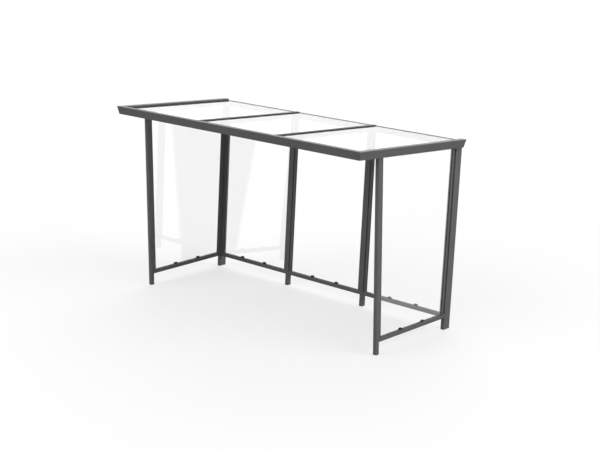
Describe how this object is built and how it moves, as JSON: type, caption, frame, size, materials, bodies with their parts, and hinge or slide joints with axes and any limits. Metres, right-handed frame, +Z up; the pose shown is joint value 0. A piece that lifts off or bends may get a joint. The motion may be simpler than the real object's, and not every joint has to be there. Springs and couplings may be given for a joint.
{
  "type": "canopy shelter",
  "caption": "Free-standing canopy shelter with an open front, glazed side and back walls on slim tube posts, and a glazed roof that falls to the leaning back wall.",
  "frame": {"origin": "on the ground under the middle of the whole outline", "axes": "+X along the shelter, +Y from the open front to the back wall, +Z up"},
  "size_m": [4.1372, 1.9011, 2.451],
  "materials": {
    "frame_coat": "anthracite powder coat, satin",
    "glazing_channel": "anthracite powder coat, satin",
    "wall_glass": "clear toughened float glass",
    "roof_glass": "clear laminated float glass",
    "glass_clip": "moulded black rubber"
  },
  "bodies": {
    "root": {"back_beam": "frame_coat", "back_clips_left": "glass_clip", "back_clips_middle": "glass_clip", "back_clips_right": "glass_clip", "back_corner_post_left": "frame_coat", "back_corner_post_right": "frame_coat", "back_glass_left": "wall_glass", "back_glass_middle": "wall_glass", "back_glass_right": "wall_glass", "back_left_bay_left_channel": "glazing_channel", "back_left_bay_right_channel": "glazing_channel", "back_middle_bay_left_channel": "glazing_channel", "back_middle_bay_right_channel": "glazing_channel", "back_post_left": "frame_coat", "back_post_right": "frame_coat", "back_rail_left": "frame_coat", "back_rail_middle": "frame_coat", "back_rail_right": "frame_coat", "back_right_bay_left_channel": "glazing_channel", "back_right_bay_right_channel": "glazing_channel", "front_edge_beam": "frame_coat", "front_post_left": "frame_coat", "front_post_right": "frame_coat", "left_edge_beam": "frame_coat", "left_wall_back_channel": "glazing_channel", "left_wall_clips": "glass_clip", "left_wall_front_channel": "glazing_channel", "left_wall_glass": "wall_glass", "left_wall_rail": "frame_coat", "rafter_cap_left": "frame_coat", "rafter_cap_right": "frame_coat", "rafter_left": "frame_coat", "rafter_right": "frame_coat", "right_edge_beam": "frame_coat", "right_wall_back_channel": "glazing_channel", "right_wall_clips": "glass_clip", "right_wall_front_channel": "glazing_channel", "right_wall_glass": "wall_glass", "right_wall_rail": "frame_coat", "roof_glass_left": "roof_glass", "roof_glass_middle": "roof_glass", "roof_glass_right": "roof_glass"}
  },
  "joints": []
}
